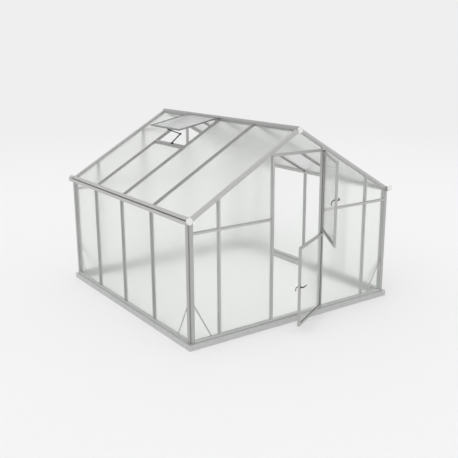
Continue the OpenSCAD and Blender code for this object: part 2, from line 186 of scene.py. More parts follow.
def streak_coordinates(tree, run):
    """Object coordinates that run slowly along `run` and at the die line's pitch across it."""
    place = add_node(tree, "ShaderNodeTexCoord").outputs["Object"]
    mirrored = add_node(tree, "ShaderNodeVectorMath", {0: place}, operation="ABSOLUTE").outputs[0]
    across_a = run.orthogonal().normalized()
    across_b = run.cross(across_a)
    values = []
    for direction, pitch in ((across_a, DIE_LINE), (across_b, DIE_LINE), (run, STREAK_RUN)):
        dot = add_node(tree, "ShaderNodeVectorMath", {
            0: mirrored, 1: direction / pitch,
        }, operation="DOT_PRODUCT")
        values.append(dot.outputs["Value"])
    return add_node(tree, "ShaderNodeCombineXYZ", dict(zip("XYZ", values))).outputs[0]


def extruded_aluminium(name, run, colour=ANODISED):
    """Satin anodised aluminium with die lines along `run`."""
    material, tree, output = new_material(name)
    streaks = add_node(
        tree, "ShaderNodeTexNoise", {"Vector": streak_coordinates(tree, run), "Scale": 1.0, "Detail": 3.0}
    ).outputs["Fac"]
    shade = add_node(tree, "ShaderNodeMapRange", {"Value": streaks, "To Min": 0.93, "To Max": 1.06})
    tone = add_node(
        tree, "ShaderNodeVectorMath", {0: linear(colour)[:3], "Scale": shade.outputs[0]}, operation="SCALE"
    )
    rough = add_node(tree, "ShaderNodeMapRange", {"Value": streaks, "To Min": SATIN[0], "To Max": SATIN[1]})
    bump = add_node(tree, "ShaderNodeBump", {"Height": streaks, "Strength": 0.12, "Distance": 0.2 * MM})
    shader = add_node(tree, "ShaderNodeBsdfPrincipled", {
        "Base Color": tone.outputs[0], "Metallic": 1.0, "Roughness": rough.outputs[0],
        "Normal": bump.outputs[0],
    })
    tree.links.new(shader.outputs[0], output.inputs["Surface"])
    return material


# Satin grey metal, each with its die lines along its own bar
SLOPE_RUN = Y.cross(RIGHT_SLOPE)
upright_aluminium = extruded_aluminium("anodised aluminium, upright bar", Z)
ridge_aluminium = extruded_aluminium("anodised aluminium, bar along the building", Y)
cross_aluminium = extruded_aluminium("anodised aluminium, bar across the building", X)
slope_aluminium = extruded_aluminium("anodised aluminium, bar down the slope", SLOPE_RUN)
# Darker greys as painted shade, so that posts, roof bars, vent and ridge read darker than the rails
shaded_post_aluminium = extruded_aluminium("anodised aluminium in painted shade, post or leaf frame", Z, "#babab9")
shaded_bar_aluminium = extruded_aluminium("anodised aluminium in painted shade, roof bar", SLOPE_RUN, SHADED_ANODISED)
shaded_vent_aluminium = extruded_aluminium("anodised aluminium in deep painted shade, vent frame", SLOPE_RUN, "#959796")
shaded_ridge_aluminium = extruded_aluminium("anodised aluminium in painted shade, ridge", Y, SHADED_ANODISED)
# The palest grey, as painted light on the bottom rails
lit_sill_aluminium = extruded_aluminium("anodised aluminium in painted light, bottom rail", (X + Y).normalized(), "#d9dbd9")
print("the bars of the slope run along", [round(v, 3) for v in SLOPE_RUN])

# %% [markdown]
# ## Galvanised steel
# The base is folded from zinc-dipped sheet steel. Zinc freezes into flat
# crystals, called spangle, about a finger wide, and each one mirrors a little
# differently. A Voronoi texture gives cells of that size, and its random cell
# colour drives small changes of tone and roughness.

# %% Steel and screws
SPANGLE = 14 * MM
STAIN = 0.2
ZINC = "#cecece"
GLOSS_SPREAD = 0.06
# Real moulded grain is finer still; this is coarse enough to show close up.
GRAIN = 0.8 * MM
RUBBER_GRAIN = 1.5 * MM
GRAIN_DEPTH = 0.05 * MM


def galvanised_steel():
    """Dull zinc with spangle, for the base rails."""
    material, tree, output = new_material("galvanised sheet steel, spangled")
    place = add_node(tree, "ShaderNodeTexCoord").outputs["Object"]
    cells = add_node(tree, "ShaderNodeTexVoronoi", {"Vector": place, "Scale": 1 / SPANGLE})
    cell = add_node(tree, "ShaderNodeSeparateColor", {0: cells.outputs["Color"]}).outputs[0]
    stains = add_node(tree, "ShaderNodeTexNoise", {
        "Vector": place, "Scale": 1 / STAIN, "Detail": 4.0,
    }).outputs["Fac"]
    both = add_node(tree, "ShaderNodeMath", {0: cell, 1: stains}, operation="ADD").outputs[0]
    shade = add_node(tree, "ShaderNodeMapRange", {
        "Value": both, "From Max": 2.0, "To Min": 0.9, "To Max": 1.08,
    })
    tone = add_node(
        tree, "ShaderNodeVectorMath", {0: linear(ZINC)[:3], "Scale": shade.outputs[0]}, operation="SCALE"
    )
    rough = add_node(tree, "ShaderNodeMapRange", {
        "Value": both, "From Max": 2.0, "To Min": 0.42, "To Max": 0.62,
    })
    shader = add_node(tree, "ShaderNodeBsdfPrincipled", {
        "Base Color": tone.outputs[0], "Metallic": 1.0, "Roughness": rough.outputs[0],
    })
    tree.links.new(shader.outputs[0], output.inputs["Surface"])
    return material


def fine_grained(name, colour, roughness, metallic=0.0, grain=GRAIN):
    """A plain moulded, cast or plated surface with a fine grain in its gloss and relief."""
    material, tree, output = new_material(name)
    place = add_node(tree, "ShaderNodeTexCoord").outputs["Object"]
    noise = add_node(tree, "ShaderNodeTexNoise", {
        "Vector": place, "Scale": 1 / grain, "Detail": 2.0,
    }).outputs["Fac"]
    rough = add_node(tree, "ShaderNodeMapRange", {
        "Value": noise, "To Min": roughness - GLOSS_SPREAD, "To Max": roughness + GLOSS_SPREAD,
    })
    bump = add_node(tree, "ShaderNodeBump", {"Height": noise, "Strength": 0.3, "Distance": GRAIN_DEPTH})
    shader = add_node(tree, "ShaderNodeBsdfPrincipled", {
        "Base Color": linear(colour), "Metallic": metallic, "Roughness": rough.outputs[0],
        "IOR": 1.5, "Normal": bump.outputs[0],
    })
    tree.links.new(shader.outputs[0], output.inputs["Surface"])
    return material


# A flat pale grey that grounds the building
base_steel = galvanised_steel()
# Small bright points where the frame is bolted
zinc_plate = fine_grained("zinc plated screw steel", "#b9bbbd", 0.32, metallic=1.0)
# The few dark accents: handles, pivots and the vent's stay
black_nylon = fine_grained("moulded black nylon", "#1e1f20", 0.45)
# Near-white ends that stand out against the grey gutters
cap_plastic = fine_grained("moulded white polypropylene", "#efefed", 0.38)
# Matt lines that part sheet from bar, deeper round the sheets that move
grey_rubber = fine_grained("extruded grey EPDM rubber", "#b4b7b6", 0.75, grain=RUBBER_GRAIN)
dark_rubber = fine_grained("extruded dark EPDM rubber", "#727574", 0.75, grain=RUBBER_GRAIN)
print("spangle", SPANGLE / MM, "mm")

# %% [markdown]
# ## Multiwall polycarbonate
# The sheets are two clear skins joined by webs every centimetre. Light that
# passes is bent a little by every web, so a near brace stays sharp while a far
# wall melts into a pale band. A rough transmission does just that, because its
# blur grows with distance. The webs are drawn as a wave across the sheet that
# changes the tint and tilts the surface. Lamps and diffuse light pass as through
# a plain clear sheet, so that the room stays bright and free of noise.

# %% Polycarbonate
WEB_PITCH = 11 * MM
# Slow, faint bands across the sheet, several webs wide
BAND_RATE = 9.0
SHEET_TINT = "#fefffe"
# The plate stands for a sheet that is mostly air, so its IOR lies between the 1.0
# of air and the 1.58 of solid polycarbonate.
SHEET_IOR = 1.25


def multiwall_polycarbonate(name, across, roughness=0.21, relief=0.5 * MM):
    """Translucent sheet whose webs are a pitch apart along the direction `across`."""
    material, tree, output = new_material(name)
    place = add_node(tree, "ShaderNodeTexCoord").outputs["Object"]
    phase = add_node(tree, "ShaderNodeVectorMath", {
        0: place, 1: across * (2 * math.pi / WEB_PITCH),
    }, operation="DOT_PRODUCT").outputs["Value"]
    wave = add_node(tree, "ShaderNodeMath", {0: phase}, operation="COSINE").outputs[0]
    drift = add_node(tree, "ShaderNodeVectorMath", {
        0: place, 1: across * BAND_RATE,
    }, operation="DOT_PRODUCT").outputs["Value"]
    bands = add_node(tree, "ShaderNodeTexNoise", {
        "W": drift, "Scale": 2.0, "Detail": 3.0,
    }, noise_dimensions="1D")
    tone = add_node(tree, "ShaderNodeMapRange", {
        "Value": wave, "From Min": -1.0, "To Min": 1.0, "To Max": 0.974,
    }).outputs[0]
    veil = add_node(tree, "ShaderNodeMapRange", {
        "Value": bands.outputs[0], "To Min": 0.992, "To Max": 1.0,
    }).outputs[0]
    strength = add_node(tree, "ShaderNodeMath", {0: tone, 1: veil}, operation="MULTIPLY").outputs[0]
    colour = add_node(
        tree, "ShaderNodeVectorMath", {0: linear(SHEET_TINT)[:3], "Scale": strength}, operation="SCALE"
    ).outputs[0]
    bump = add_node(tree, "ShaderNodeBump", {"Height": wave, "Strength": 0.3, "Distance": relief})
    glass = add_node(tree, "ShaderNodeBsdfPrincipled", {
        "Base Color": colour, "Roughness": roughness, "IOR": SHEET_IOR, "Transmission Weight": 1.0,
        "Normal": bump.outputs[0],
    })
    clear = add_node(tree, "ShaderNodeBsdfTransparent", {"Color": linear(SHEET_TINT)})
    path = add_node(tree, "ShaderNodeLightPath")
    soft = add_node(tree, "ShaderNodeMath", {
        0: path.outputs["Is Shadow Ray"], 1: path.outputs["Is Diffuse Ray"],
    }, operation="MAXIMUM").outputs[0]
    mix = add_node(tree, "ShaderNodeMixShader", {0: soft, 1: glass.outputs[0], 2: clear.outputs[0]})
    tree.links.new(mix.outputs[0], output.inputs["Surface"])
    return material


# Pale and faintly ribbed, with a blur that grows with distance
side_sheet = multiwall_polycarbonate("multiwall polycarbonate, side wall and roof", Y)
gable_sheet = multiwall_polycarbonate("multiwall polycarbonate, gable", X)
print("web pitch", WEB_PITCH / MM, "mm")

# %% [markdown]
# ## Finishes for the CAD parts
# A CAD node keeps its mesh, and only its material slot changes. Each node gets
# the aluminium whose die lines run the way that bar runs, because a bar with its
# grain turned across it looks wrong even from afar.

# %% Assign finishes
# Posts, wall bars, leaf frames, roof bars, vent and ridge take the greys painted darker as shade; the sills
# take the grey painted paler as light.
FINISHES = {
    base_steel: ("base_front", "base_back", "base_left", "base_right"),
    lit_sill_aluminium: ("front_sill", "back_sill", "left_sill", "right_sill"),
    upright_aluminium: ("front_mullions", "door_jambs", "back_gable_bars", "corner_braces"),
    shaded_post_aluminium: (
        "front_corner_posts", "back_corner_posts", "left_wall_bars", "right_wall_bars",
        "lower_door_frame", "upper_door_frame",
    ),
    ridge_aluminium: ("left_gutter", "right_gutter"),
    shaded_ridge_aluminium: ("ridge_beam", "vent_sill"),
    cross_aluminium: ("door_head", "front_transoms", "back_gable_rails"),
    slope_aluminium: ("front_rafters", "back_rafters"),
    shaded_bar_aluminium: ("left_roof_bars", "right_roof_bars"),
    shaded_vent_aluminium: ("vent_frame",),
    side_sheet: (
        "left_wall_sheets", "right_wall_sheets", "left_roof_sheets", "right_roof_sheets", "vent_sheet",
    ),
    gable_sheet: ("front_gable_sheets", "back_gable_sheets"),
    cap_plastic: ("gutter_caps", "ridge_caps"),
    black_nylon: ("vent_stay", "door_pivots", "lower_door_handle", "upper_door_handle"),
}
for finish, names in FINISHES.items():
    for node_name in names:
        frame["nodes"][node_name].data.materials.clear()
        frame["nodes"][node_name].data.materials.append(finish)
print("finished nodes:", sum(len(names) for names in FINISHES.values()))

# %% [markdown]
# ## The two door leaves
# The leaves stand open, so their sheets, screws and handles are easiest to think
# of on a closed leaf and then turned about the hinge. The joint in the frame
# gives the hinge's place, and the turn back to closed is the joint's lower limit.
# Their sheets blur less than the walls' do, so that what stands behind an open
# leaf can still be read.

# %% Leaf frames of reference
LEAF_BLUR = 0.1
LEAF_RELIEF = 0.15 * MM
LEAVES = {}
for joint in frame["joints"]:
    turn = Matrix.Rotation(math.radians(-joint["range_deg"][0]), 4, "Z")
    LEAVES[joint["child"]] = Matrix.Translation(Vector(joint["pos_m"])) @ turn
for body, node_name in (("lower_leaf", "lower_door_sheet"), ("upper_leaf", "upper_door_sheet")):
    leaf_run = (LEAVES[body].to_3x3() @ X).normalized()
    sheet_name = f"multiwall polycarbonate, {body.replace('_', ' ')}"
    leaf_sheet = multiwall_polycarbonate(sheet_name, leaf_run, LEAF_BLUR, LEAF_RELIEF)
    frame["nodes"][node_name].data.materials.clear()
    frame["nodes"][node_name].data.materials.append(leaf_sheet)
print("leaves:", {name: [round(v, 3) for v in matrix.translation] for name, matrix in LEAVES.items()})

# %% [markdown]
# ## Marks for Geometry Nodes
# Seals, cover caps and screws repeat by the hundred. Each is drawn once inside a
# node tree and copied onto marks: points that carry a turn and a length. A mark
# says where a strip starts, which way it runs and which way it faces out. The
# tree then needs no idea of the building, and the building needs no idea of the
# strip's section.

# %% Marks


def facing(run, outward):
    """The turn that points local Z along run and local Y outward."""
    z = run.normalized()
    y = (outward - outward.dot(z) * z).normalized()
    return Matrix((y.cross(z), y, z)).transposed().to_euler()


def mark_object(name, marks):
    """A mesh of points with a turn and a length on each, from (start, run, outward, length) marks."""
    mesh = bpy.data.meshes.new(name)
    mesh.from_pydata([tuple(start) for start, _, _, _ in marks], [], [])
    mesh.attributes.new("turn", "FLOAT_VECTOR", "POINT")
    mesh.attributes.new("length", "FLOAT", "POINT")
    for i, (_, run, outward, size) in enumerate(marks):
        mesh.attributes["turn"].data[i].vector = facing(run, outward)
        mesh.attributes["length"].data[i].value = size
    marked = bpy.data.objects.new(name, mesh)
    bpy.context.scene.collection.objects.link(marked)
    return marked


def made_by_nodes(name, marks, tree, sizes, material, body="root"):
    """Runs a node tree on marks and keeps the result as a plain mesh that rides on a body."""
    marked = mark_object(name + "_marks", marks)
    modifier = marked.modifiers.new("Nodes", "NODES")
    modifier.node_group = tree
    sockets = {item.name: item.identifier for item in tree.interface.items_tree if item.in_out == "INPUT"}
    for label, value in dict(sizes, Material=material).items():
        modifier[sockets[label]] = value
    bpy.context.view_layer.update()
    mesh = bpy.data.meshes.new_from_object(marked.evaluated_get(bpy.context.evaluated_depsgraph_get()))
    mesh.name = name
    piece = bpy.data.objects.new(name, mesh)
    bpy.context.scene.collection.objects.link(piece)
    bpy.data.objects.remove(marked)
    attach(piece, body)
    print(f"{name}: {len(marks)} copies, {len(mesh.polygons)} faces")


def start_tree(name, sizes):
    """A node tree with a geometry input, named sizes and a material, and its group input node."""
    tree = bpy.data.node_groups.new(name, "GeometryNodeTree")
    tree.interface.new_socket("Geometry", in_out="INPUT", socket_type="NodeSocketGeometry")
    for label, default in sizes.items():
        socket = tree.interface.new_socket(label, in_out="INPUT", socket_type="NodeSocketFloat")
        socket.default_value = default
    tree.interface.new_socket("Material", in_out="INPUT", socket_type="NodeSocketMaterial")
    tree.interface.new_socket("Geometry", in_out="OUTPUT", socket_type="NodeSocketGeometry")
    return tree, add_node(tree, "NodeGroupInput").outputs


def finish_tree(tree, sources, shape, scaled):
    """Copies a shape onto the marks, makes the copies real and gives them the material."""
    turn = add_node(tree, "GeometryNodeInputNamedAttribute", {"Name": "turn"}, data_type="FLOAT_VECTOR")
    rotation = add_node(tree, "FunctionNodeEulerToRotation", {0: turn.outputs[0]}).outputs[0]
    copies = add_node(tree, "GeometryNodeInstanceOnPoints", {
        "Points": sources["Geometry"], "Instance": shape, "Rotation": rotation,
    })
    if scaled:
        length = add_node(tree, "GeometryNodeInputNamedAttribute", {"Name": "length"}, data_type="FLOAT")
        scale = add_node(tree, "ShaderNodeCombineXYZ", {"X": 1.0, "Y": 1.0, "Z": length.outputs[0]})
        tree.links.new(scale.outputs[0], copies.inputs["Scale"])
    real = add_node(tree, "GeometryNodeRealizeInstances", {0: copies.outputs[0]}).outputs[0]
    painted = add_node(tree, "GeometryNodeSetMaterial", {"Geometry": real, "Material": sources["Material"]})
    add_node(tree, "NodeGroupOutput", {0: painted.outputs[0]})
    return tree


print("an upright strip on the front turns by", [round(math.degrees(a)) for a in facing(Z, -Y)], "degrees")

# %% [markdown]
# ## A strip and a screw
# A strip is a rectangle with rounded corners, filled and extruded one metre
# long, then stretched to each mark's length. A screw is a thin washer under a
# hexagon head, with few faces because there are hundreds.

# %% Trees for strips and screws
CORNER_STEPS = 2
WASHER_SIDES = 14
WASHER_T = 1.4 * MM


def strip_tree():
    """A strip of rounded section that starts at the mark and runs along it."""
    tree, sources = start_tree("strip", {"Width": 0.02, "Depth": 0.004, "Corner": 0.001})
    outline = add_node(tree, "GeometryNodeCurvePrimitiveQuadrilateral", {
        "Width": sources["Width"], "Height": sources["Depth"],
    })
    rounded = add_node(tree, "GeometryNodeFilletCurve", {
        "Curve": outline.outputs[0], "Radius": sources["Corner"], "Count": CORNER_STEPS,
    }, mode="POLY")
    section = add_node(tree, "GeometryNodeFillCurve", {"Curve": rounded.outputs[0]}, mode="NGONS").outputs[0]
    body = add_node(tree, "GeometryNodeExtrudeMesh", {
        "Mesh": section, "Offset": (0.0, 0.0, 1.0), "Offset Scale": 1.0, "Individual": False,
    })
    base = add_node(tree, "GeometryNodeFlipFaces", {0: section}).outputs[0]
    joined = add_node(tree, "GeometryNodeJoinGeometry")
    tree.links.new(body.outputs["Mesh"], joined.inputs[0])
    tree.links.new(base, joined.inputs[0])
    closed = add_node(tree, "GeometryNodeMergeByDistance", {
        "Geometry": joined.outputs[0], "Distance": WELD,
    })
    return finish_tree(tree, sources, closed.outputs[0], scaled=True)


def screw_tree():
    """A hexagon head on a washer, standing out along the mark's run."""
    tree, sources = start_tree("screw", {"Washer": 0.0065, "Head": 0.004, "Height": 0.0035})
    washer = add_node(tree, "GeometryNodeMeshCylinder", {
        "Vertices": WASHER_SIDES, "Radius": sources["Washer"], "Depth": WASHER_T,
    }).outputs["Mesh"]
    hexagon = add_node(tree, "GeometryNodeMeshCylinder", {
        "Vertices": 6, "Radius": sources["Head"], "Depth": sources["Height"],
    }).outputs["Mesh"]
    half = add_node(tree, "ShaderNodeMath", {0: sources["Height"], 1: 0.5}, operation="MULTIPLY").outputs[0]
    lift = add_node(tree, "ShaderNodeCombineXYZ", {"Z": half}).outputs[0]
    raised = add_node(tree, "GeometryNodeTransform", {"Geometry": hexagon, "Translation": lift}).outputs[0]
    joined = add_node(tree, "GeometryNodeJoinGeometry")
    tree.links.new(washer, joined.inputs[0])
    tree.links.new(raised, joined.inputs[0])
    return finish_tree(tree, sources, joined.outputs[0], scaled=False)


STRIP = strip_tree()
SCREW = screw_tree()
print("trees:", STRIP.name, SCREW.name)

# %% [markdown]
# ## Seals round the sheets
# Each sheet is held by a rubber seal that shows as a thin line between sheet and
# bar. The sheets have four to six edges, so the marks are read off the outline
# of each sheet's outer face, whichever way it faces. The leaves and the vent
# move, so their sheets sit in a thicker, darker gasket that outlines them.

# %% Sheet seals
SEAL_W = 2.5 * MM
SEAL_D = 3 * MM
SEAL_CORNER = 0.6 * MM
THICKER = 1.4
SEAL = {"Width": SEAL_W, "Depth": SEAL_D, "Corner": SEAL_CORNER}
GASKET = {"Width": THICKER * SEAL_W, "Depth": THICKER * SEAL_D, "Corner": SEAL_CORNER}


def rim_marks(points, outward):
    """Marks along the edges of a sheet's outer face, set in by half a seal."""
    corners = face_towards(points, outward)
    middle = sum(corners, Vector()) / len(corners)
    marks = []
    for a, b in zip(corners, corners[1:] + corners[:1]):
        run = (b - a).normalized()
        inward = outward.cross(run)
        if inward.dot(middle - a) < 0:
            inward.negate()
        marks.append((a + inward * (SEAL_W / 2), run, outward, (b - a).length))
    return marks


VENT_NORMAL = broadest_normal("vent_sheet")
SHEET_SIDES = {
    "left_wall_sheets": -X, "right_wall_sheets": X, "front_gable_sheets": -Y, "back_gable_sheets": Y,
    "left_roof_sheets": LEFT_SLOPE, "right_roof_sheets": RIGHT_SLOPE,
}
for node_name, outward in SHEET_SIDES.items():
    marks = [mark for sheet in solids(node_name) for mark in rim_marks(sheet, outward)]
    made_by_nodes(node_name.replace("sheet", "seal"), marks, STRIP, SEAL, grey_rubber)
marks = [mark for side in (VENT_NORMAL, -VENT_NORMAL) for mark in rim_marks(solids("vent_sheet")[0], side)]
made_by_nodes("vent_gasket", marks, STRIP, GASKET, dark_rubber)
for body, node_name in (("lower_leaf", "lower_door_sheet"), ("upper_leaf", "upper_door_sheet")):
    leaf_out = LEAVES[body].to_3x3() @ -Y
    marks = [mark for side in (leaf_out, -leaf_out) for mark in rim_marks(solids(node_name)[0], side)]
    made_by_nodes(f"{body}_gasket", marks, STRIP, GASKET, dark_rubber, body)

# %% [markdown]
# ## Cover caps on the bars
# A glazing bar is closed by a cap that snaps into it over the sheets' edges. Seen
# close, it is a second, narrower band with soft corners that stands a little
# proud of the bar. A strip along the middle of each bar's outer face makes it.
# The door jambs go without, because the leaves swing a few millimetres off them.

# %% Cover caps
CAP_SIDE = 5 * MM
CAP_D = 4 * MM
CAP_END = 3 * MM
CAP_CORNER = 1.2 * MM


def width_of(points, outward, run):
    """How wide a bar's outer face is, across its run."""
    sides = [p.dot(outward.cross(run)) for p in face_towards(points, outward)]
    return max(sides) - min(sides)


def centre_line(points, outward, run):
    """The two ends of the middle line of a bar's outer face."""
    corners = face_towards(points, outward)
    across = outward.cross(run)
    sides = [p.dot(across) for p in corners]
    along = sorted(p.dot(run) for p in corners)
    base = outward * corners[0].dot(outward) + across * ((min(sides) + max(sides)) / 2)
    return base + run * along[1], base + run * along[-2]


# Each cap takes its bar's grey, painted shade included.
BARS = {
    "left_wall_bars": (-X, Z, shaded_post_aluminium), "right_wall_bars": (X, Z, shaded_post_aluminium),
    "front_mullions": (-Y, Z, upright_aluminium), "back_gable_bars": (Y, Z, upright_aluminium),
    "left_roof_bars": (LEFT_SLOPE, LEFT_SLOPE.cross(-Y), shaded_bar_aluminium),
    "right_roof_bars": (RIGHT_SLOPE, RIGHT_SLOPE.cross(Y), shaded_bar_aluminium),
}
for node_name, (outward, run, finish) in BARS.items():
    marks = []
    for bar in solids(node_name):
        foot, top = centre_line(bar, outward, run)
        marks.append((foot + run * CAP_END, run, outward, (top - foot).length - 2 * CAP_END))
    cap_w = width_of(bar, outward, run) - 2 * CAP_SIDE
    section = {"Width": cap_w, "Depth": CAP_D, "Corner": CAP_CORNER}
    made_by_nodes(node_name + "_caps", marks, STRIP, section, finish)

# %% [markdown]
# ## Screws
# Self-drilling screws with a washer hold the frame together: pairs at the ends
# of every bar, a row along each rafter and bottom rail, and a row of larger ones
# into the base. They all come from one tree; only the marks and sizes differ.

# %% Screws along bars and rails
SCREW_STEP = 0.36
PAIR_GAP = 22 * MM
BAR_MARGIN = 20 * MM
RAIL_MARGIN = 12 * MM
BASE_MARGIN = 45 * MM
SMALL_SCREW = {"Washer": 5 * MM, "Head": 3.2 * MM, "Height": 2.6 * MM}
BASE_SCREW = {"Washer": 8 * MM, "Head": 5 * MM, "Height": 4 * MM}


def row_marks(start, stop, outward, step, margin):
    """Evenly spaced screws from start to stop, keeping a margin at both ends."""
    run = (stop - start).normalized()
    length = (stop - start).length - 2 * margin
    count = max(1, round(length / step))
    return [(start + run * (margin + length * i / count), outward, run, 1.0) for i in range(count + 1)]


def pair_marks(start, stop, outward, margin):
    """Two screws near each end of a bar."""
    run = (stop - start).normalized()
    spots = [start + run * (margin + PAIR_GAP * i) for i in (0, 1)]
    spots += [stop - run * (margin + PAIR_GAP * i) for i in (0, 1)]
    return [(spot, outward, run, 1.0) for spot in spots]


def screws_on(nodes, arrange, lift=0.0):
    """Screw marks on the outer face of each solid in some nodes, as `arrange` spreads them."""
    marks = []
    for node_name, (outward, run) in nodes.items():
        for bar in solids(node_name):
            start, stop = centre_line(bar, outward, run)
            marks += arrange(start + outward * lift, stop + outward * lift, outward)
    return marks


capped = {name: (outward, run) for name, (outward, run, _) in BARS.items()}
bar_ends = screws_on(capped, lambda a, b, out: pair_marks(a, b, out, BAR_MARGIN), lift=CAP_D / 2)
made_by_nodes("bar_screws", bar_ends, SCREW, SMALL_SCREW, zinc_plate)
RAILS = {
    "front_sill": (-Y, X), "back_sill": (Y, X), "left_sill": (-X, Y), "right_sill": (X, Y),
    "front_transoms": (-Y, X), "back_gable_rails": (Y, X),
}
rail_rows = screws_on(RAILS, lambda a, b, out: row_marks(a, b, out, SCREW_STEP, RAIL_MARGIN))
made_by_nodes("rail_screws", rail_rows, SCREW, SMALL_SCREW, zinc_plate)
BASES = {"base_front": (-Y, X), "base_back": (Y, X), "base_left": (-X, Y), "base_right": (X, Y)}
base_rows = screws_on(BASES, lambda a, b, out: row_marks(a, b, out, 2 * SCREW_STEP, BASE_MARGIN))
made_by_nodes("base_screws", base_rows, SCREW, BASE_SCREW, zinc_plate)

# %% [markdown]
# ## Screws on rafters, braces and the vent
# The rafters lean, so their marks run down the slope. A brace is a thin strap
# with one screw at each end, seen from indoors. The vent's flap has a screw at
# each corner of its frame.

# %% Screws on slanted parts
BRACE_END = 16 * MM
RAFTER_MARGIN = 60 * MM
VENT_INSET = 10 * MM
sloped = []
for node_name, outward in (("front_rafters", -Y), ("back_rafters", Y)):
    for rafter in solids(node_name):
        leans_left = sum(p.x for p in rafter) < 0
        run = LEFT_SLOPE.cross(-Y) if leans_left else RIGHT_SLOPE.cross(Y)
        start, stop = centre_line(rafter, outward, run)
        sloped += row_marks(start, stop, outward, SCREW_STEP, RAFTER_MARGIN)
for strap in solids("corner_braces"):
    low, high = box_of(strap)
    thin = min(range(3), key=lambda i: high[i] - low[i])
    indoors = (X if low.x < 0 else -X) if thin == 0 else (Y if low.y < 1 else -Y)
    face = face_towards(strap, indoors)
    ends = sorted(face, key=lambda p: p.z)
    foot, top = (ends[0] + ends[1]) / 2, (ends[-1] + ends[-2]) / 2
    run = (top - foot).normalized()
    sloped += [(foot + run * BRACE_END, indoors, run, 1.0), (top - run * BRACE_END, indoors, run, 1.0)]
made_by_nodes("rafter_and_brace_screws", sloped, SCREW, SMALL_SCREW, zinc_plate)

vent_rim = face_towards(solids("vent_frame")[0], VENT_NORMAL)
vent_low, vent_high = box_of(vent_rim)
vent_down = Vector((vent_low.x - vent_high.x, 0, vent_low.z - vent_high.z)).normalized()
flap_marks = []
for y, side in ((vent_low.y, 1), (vent_high.y, -1)):
    for corner, inward in ((vent_high, 1), (vent_low, -1)):
        spot = Vector((corner.x, y, corner.z)) + VENT_INSET * (inward * vent_down + side * Y)
        flap_marks.append((spot, VENT_NORMAL, Y, 1.0))
made_by_nodes("vent_screws", flap_marks, SCREW, SMALL_SCREW, zinc_plate)

# %% [markdown]
# ## Dressing the leaves
# A leaf's frame is four bars cut at 45 degrees. The cut shows as a fine dark line
# across each corner, with a screw beside it. These marks are placed on the
# closed leaf, whose hinge axis is its origin, and turned to where it stands.

# %% Leaf corners
MITRE = {"Width": 0.9 * MM, "Depth": 0.5 * MM, "Corner": 0.1 * MM}
MITRE_END = 1 * MM
LEAF_SCREW = {"Washer": 4 * MM, "Head": 2.8 * MM, "Height": 1.8 * MM}
SCREW_OFF = 1.6  # from the leaf's end, in widths of its bars
# A dark thread of shade, so that the cut reads as two bars that meet
joint_shadow = fine_grained("shadowed joint between two bars", "#5f6162", 0.7)


def local_points(body, points):
    """Points on the closed leaf, measured from its hinge axis."""
    back = LEAVES[body].inverted()
    return [back @ p for p in points]


for body, node_name in (("lower_leaf", "lower_door_frame"), ("upper_leaf", "upper_door_frame")):
    low, high = box_of(local_points(body, solids(node_name)[0]))
    sheet_low, _ = box_of(local_points(body, solids(node_name.replace("frame", "sheet"))[0]))
    leaf_bar = sheet_low.x - low.x
    place, turn = LEAVES[body], LEAVES[body].to_3x3()
    mitres, fixings = [], []
    for outward, y in ((-Y, low.y), (Y, high.y)):
        for x, inward_x in ((low.x, 1), (high.x, -1)):
            for z, inward_z in ((low.z, 1), (high.z, -1)):
                run = (inward_x * X + inward_z * Z).normalized()
                corner = Vector((x, y, z)) + run * MITRE_END
                length = leaf_bar * math.sqrt(2) - 2 * MITRE_END
                mitres.append((place @ corner, turn @ run, turn @ outward, length))
                spot = Vector((x + inward_x * leaf_bar / 2, y, z + inward_z * SCREW_OFF * leaf_bar))
                fixings.append((place @ spot, turn @ outward, turn @ Z, 1.0))
    made_by_nodes(f"{body}_mitres", mitres, STRIP, MITRE, joint_shadow, body)
    made_by_nodes(f"{body}_screws", fixings, SCREW, LEAF_SCREW, zinc_plate, body)

# %% [markdown]
# ## Lever handles
# Each leaf has a moulded nylon lever outside and a hooked catch inside. The real
# shapes have no flat or sharp place, so each is skinned: rings of points follow a
# smooth path, wide at the root and rounded at the tip. The CAD handle stays as
# the collision shape, and the lever is drawn within its outer sizes.

# %% Skinned levers
RING = 20
SAMPLES = 28
TIP_STEPS = (0.3, 0.55, 0.75, 0.9, 1.0)
TIP_R = 0.12 * MM
# The disc behind the lever, as (rise, inset) in mm, and the catch's, as (rise, radius)
ROSE = ((0, 0), (2.6, 0), (3.4, 0.8), (4.0, 2.4))
COLLAR = ((0, 10), (2.2, 10), (3.0, 8.6))
# Radii at root and tip, how far the path keeps inside the CAD handle, and its bend
LEVER_R = (8 * MM, 6 * MM)
LEVER_IN = 6 * MM
LEVER_BEND = 35 * MM
LEVER_UP = 5 * MM
CATCH_R = (7 * MM, 5.5 * MM)
CATCH_IN = 6 * MM
CATCH_REACH = 4 * MM
CATCH_BEND = 22 * MM


def skin(mesh, path, radii, level, flatten=1.0):
    """Rings of the given radii round a path; `level` is a direction that never runs along it."""
    rings = []
    for i, (point, radius) in enumerate(zip(path, radii)):
        tangent = (path[min(i + 1, len(path) - 1)] - path[max(i - 1, 0)]).normalized()
        side = tangent.cross(level).normalized()
        up = side.cross(tangent)
        angles = [2 * math.pi * k / RING for k in range(RING)]
        rings.append([
            mesh.verts.new(point + radius * (math.cos(a) * flatten * side + math.sin(a) * up))
            for a in angles
        ])
    for ring, following in zip(rings, rings[1:]):
        for k in range(RING):
            mesh.faces.new((ring[k], ring[(k + 1) % RING], following[(k + 1) % RING], following[k]))
    mesh.faces.new(rings[0])
    mesh.faces.new(rings[-1])


